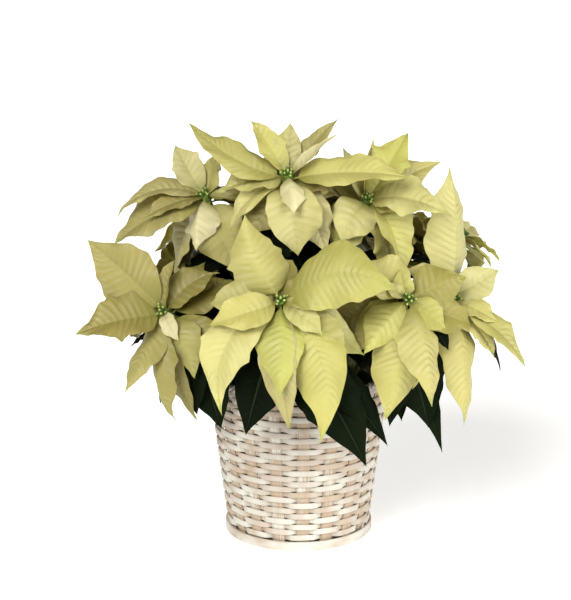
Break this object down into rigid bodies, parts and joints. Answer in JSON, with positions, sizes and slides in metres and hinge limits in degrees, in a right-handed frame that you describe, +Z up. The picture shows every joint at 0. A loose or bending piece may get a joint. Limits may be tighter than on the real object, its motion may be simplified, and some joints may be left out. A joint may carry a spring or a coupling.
{
  "type": "potted poinsettia in a woven basket",
  "caption": "Cream poinsettia with a dome of pointed bract rosettes over dark leaves, in a grower's pot inside a tapered, whitewashed woven basket.",
  "frame": {"origin": "on the basket's axis, level with the underside of its base board, which is what the plant stands on", "axes": "+Z up; the side the picture shows faces -Y, and +X is to the viewer's right"},
  "size_m": [0.4442, 0.3634, 0.4317],
  "materials": {
    "cream_bract": "pale cream-yellow bract with a soft satin skin and raised veins",
    "green_leaf": "very dark green leaf, dull above, with fine pale veins; green stem",
    "cyathia": "green buds with yellow tips",
    "whitewashed_willow": "matt whitewash over peeled willow, worn thin on the stakes",
    "pot_plastic": "matt dark green plastic",
    "potting_soil": "moist dark peat with crumbs"
  },
  "bodies": {
    "root": {"basket_base_board": "whitewashed_willow", "basket_foot_hoop": "whitewashed_willow", "basket_rim": "whitewashed_willow", "basket_weave": "whitewashed_willow", "bracts_back": "cream_bract", "bracts_back_left": "cream_bract", "bracts_back_right": "cream_bract", "bracts_crown_rear": "cream_bract", "bracts_far_right": "cream_bract", "bracts_front": "cream_bract", "bracts_left": "cream_bract", "bracts_left_rear": "cream_bract", "bracts_right": "cream_bract", "bracts_right_rear": "cream_bract", "bracts_top": "cream_bract", "bracts_upper_left": "cream_bract", "bracts_upper_right": "cream_bract", "cyathia_back": "cyathia", "cyathia_back_left": "cyathia", "cyathia_back_right": "cyathia", "cyathia_crown_rear": "cyathia", "cyathia_far_right": "cyathia", "cyathia_front": "cyathia", "cyathia_left": "cyathia", "cyathia_left_rear": "cyathia", "cyathia_right": "cyathia", "cyathia_right_rear": "cyathia", "cyathia_top": "cyathia", "cyathia_upper_left": "cyathia", "cyathia_upper_right": "cyathia", "grower_pot": "pot_plastic", "leafy_stem_back": "green_leaf", "leafy_stem_back_left": "green_leaf", "leafy_stem_back_right": "green_leaf", "leafy_stem_crown_rear": "green_leaf", "leafy_stem_far_right": "green_leaf", "leafy_stem_front": "green_leaf", "leafy_stem_left": "green_leaf", "leafy_stem_left_rear": "green_leaf", "leafy_stem_right": "green_leaf", "leafy_stem_right_rear": "green_leaf", "leafy_stem_top": "green_leaf", "leafy_stem_upper_left": "green_leaf", "leafy_stem_upper_right": "green_leaf", "potting_soil": "potting_soil"}
  },
  "joints": []
}
